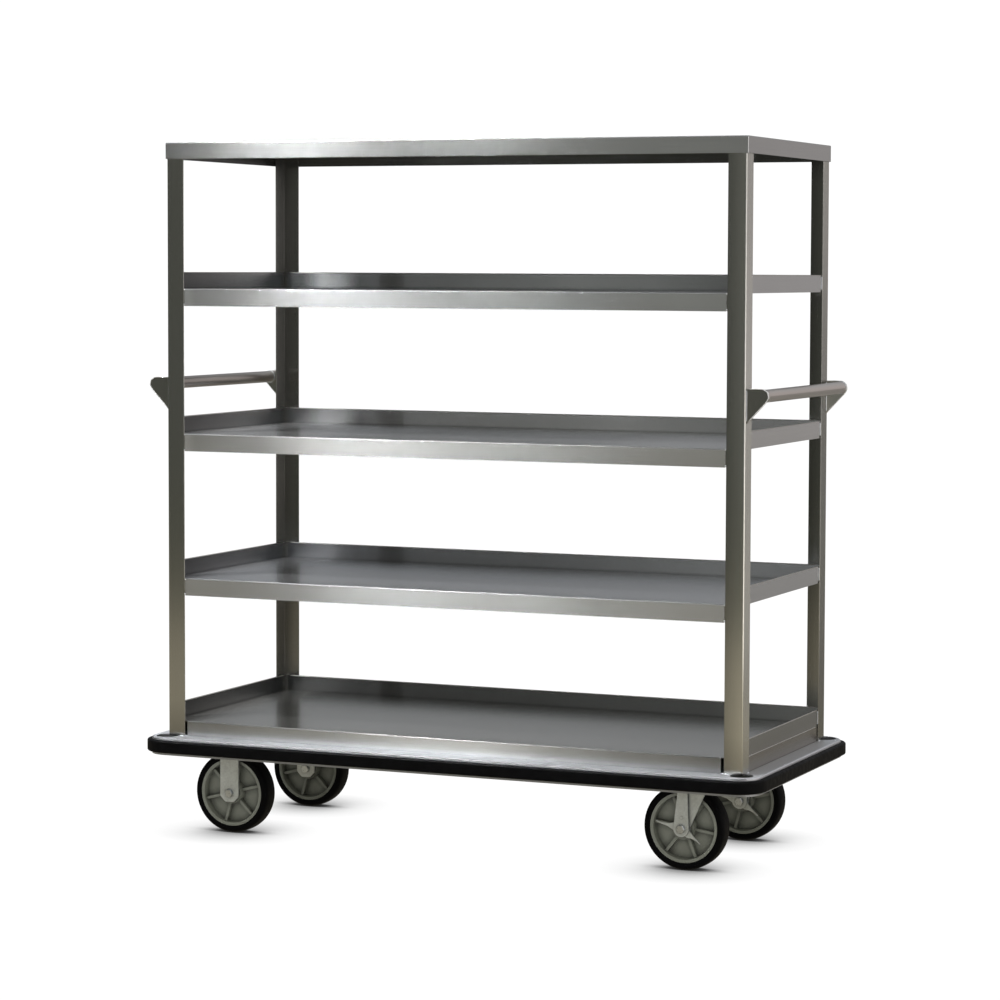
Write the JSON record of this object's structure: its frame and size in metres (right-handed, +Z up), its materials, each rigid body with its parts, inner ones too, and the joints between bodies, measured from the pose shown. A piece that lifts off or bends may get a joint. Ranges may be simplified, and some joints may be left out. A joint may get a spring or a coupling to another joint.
{
  "type": "multi-shelf service cart",
  "caption": "Tall stainless shelf cart on a bumpered platform, with angle posts, lipped trays, end push handles, rigid and braked swivel casters.",
  "frame": {"origin": "floor level under the middle of the cart", "axes": "+X along the cart towards the swivel casters, -Y is the open loading front, +Z up"},
  "size_m": [1.628, 0.73, 1.721],
  "materials": {
    "stainless": "satin brushed stainless",
    "zinc_plate": "matt zinc plated pressed steel",
    "bright_steel": "bright zinc plated",
    "bumper_rubber": "matt black",
    "tyre_rubber": "matt black",
    "core_plastic": "moulded warm grey"
  },
  "bodies": {
    "frame": {"deck_pan": "stainless", "deck_channels": "stainless", "bumper_band": "bumper_rubber", "post_front_left": "stainless", "post_front_right": "stainless", "post_rear_left": "stainless", "post_rear_right": "stainless", "shelf_base": "stainless", "shelf_lower": "stainless", "shelf_middle": "stainless", "shelf_upper": "stainless", "shelf_cap": "stainless", "shelf_hats": "stainless", "base_skirt_ends": "stainless", "base_skirt_rear": "stainless", "handle_bar_left": "stainless", "handle_bar_right": "stainless", "handle_brackets_left": "stainless", "handle_brackets_right": "stainless", "fork_rigid_front": "zinc_plate", "fork_rigid_rear": "zinc_plate", "swivel_plate_front": "zinc_plate", "swivel_plate_rear": "zinc_plate", "kingpin_front": "bright_steel", "kingpin_rear": "bright_steel", "race_balls_front": "bright_steel", "race_balls_rear": "bright_steel", "plate_bolts": "bright_steel", "plate_nuts": "bright_steel", "axle_bolt_rigid_front": "bright_steel", "axle_nut_rigid_front": "bright_steel", "axle_sleeve_rigid_front": "bright_steel", "axle_bolt_rigid_rear": "bright_steel", "axle_nut_rigid_rear": "bright_steel", "axle_sleeve_rigid_rear": "bright_steel"},
    "wheel_rigid_front": {"tyre_rigid_front": "tyre_rubber", "core_rigid_front": "core_plastic", "bearings_rigid_front": "bright_steel"},
    "swivel_front": {"fork_swivel_front": "zinc_plate", "axle_bolt_swivel_front": "bright_steel", "axle_nut_swivel_front": "bright_steel", "axle_sleeve_swivel_front": "bright_steel", "brake_strap_front": "zinc_plate"},
    "wheel_swivel_front": {"tyre_swivel_front": "tyre_rubber", "core_swivel_front": "core_plastic", "bearings_swivel_front": "bright_steel"},
    "brake_front": {"brake_lever_front": "zinc_plate"},
    "wheel_rigid_rear": {"tyre_rigid_rear": "tyre_rubber", "core_rigid_rear": "core_plastic", "bearings_rigid_rear": "bright_steel"},
    "swivel_rear": {"fork_swivel_rear": "zinc_plate", "axle_bolt_swivel_rear": "bright_steel", "axle_nut_swivel_rear": "bright_steel", "axle_sleeve_swivel_rear": "bright_steel", "brake_strap_rear": "zinc_plate"},
    "wheel_swivel_rear": {"tyre_swivel_rear": "tyre_rubber", "core_swivel_rear": "core_plastic", "bearings_swivel_rear": "bright_steel"},
    "brake_rear": {"brake_lever_rear": "zinc_plate"}
  },
  "joints": [
    {"name": "rigid_wheel_spin_front", "type": "hinge", "parent": "frame", "child": "wheel_rigid_front", "pos_m": [-0.624, -0.206, 0.1016], "axis": [0, 1, 0], "continuous": true},
    {"name": "caster_swivel_front", "type": "hinge", "parent": "frame", "child": "swivel_front", "pos_m": [0.624, -0.206, 0.22], "axis": [0, 0, 1], "continuous": true},
    {"name": "swivel_wheel_spin_front", "type": "hinge", "parent": "swivel_front", "child": "wheel_swivel_front", "pos_m": [0.585, -0.206, 0.1016], "axis": [0, 1, 0], "continuous": true},
    {"name": "brake_lever_tilt_front", "type": "hinge", "parent": "swivel_front", "child": "brake_front", "pos_m": [0.585, -0.206, 0.1016], "axis": [0, 1, 0], "range_deg": [-25, 25]},
    {"name": "rigid_wheel_spin_rear", "type": "hinge", "parent": "frame", "child": "wheel_rigid_rear", "pos_m": [-0.624, 0.206, 0.1016], "axis": [0, 1, 0], "continuous": true},
    {"name": "caster_swivel_rear", "type": "hinge", "parent": "frame", "child": "swivel_rear", "pos_m": [0.624, 0.206, 0.22], "axis": [0, 0, 1], "continuous": true},
    {"name": "swivel_wheel_spin_rear", "type": "hinge", "parent": "swivel_rear", "child": "wheel_swivel_rear", "pos_m": [0.585, 0.206, 0.1016], "axis": [0, 1, 0], "continuous": true},
    {"name": "brake_lever_tilt_rear", "type": "hinge", "parent": "swivel_rear", "child": "brake_rear", "pos_m": [0.585, 0.206, 0.1016], "axis": [0, 1, 0], "range_deg": [-25, 25]}
  ]
}
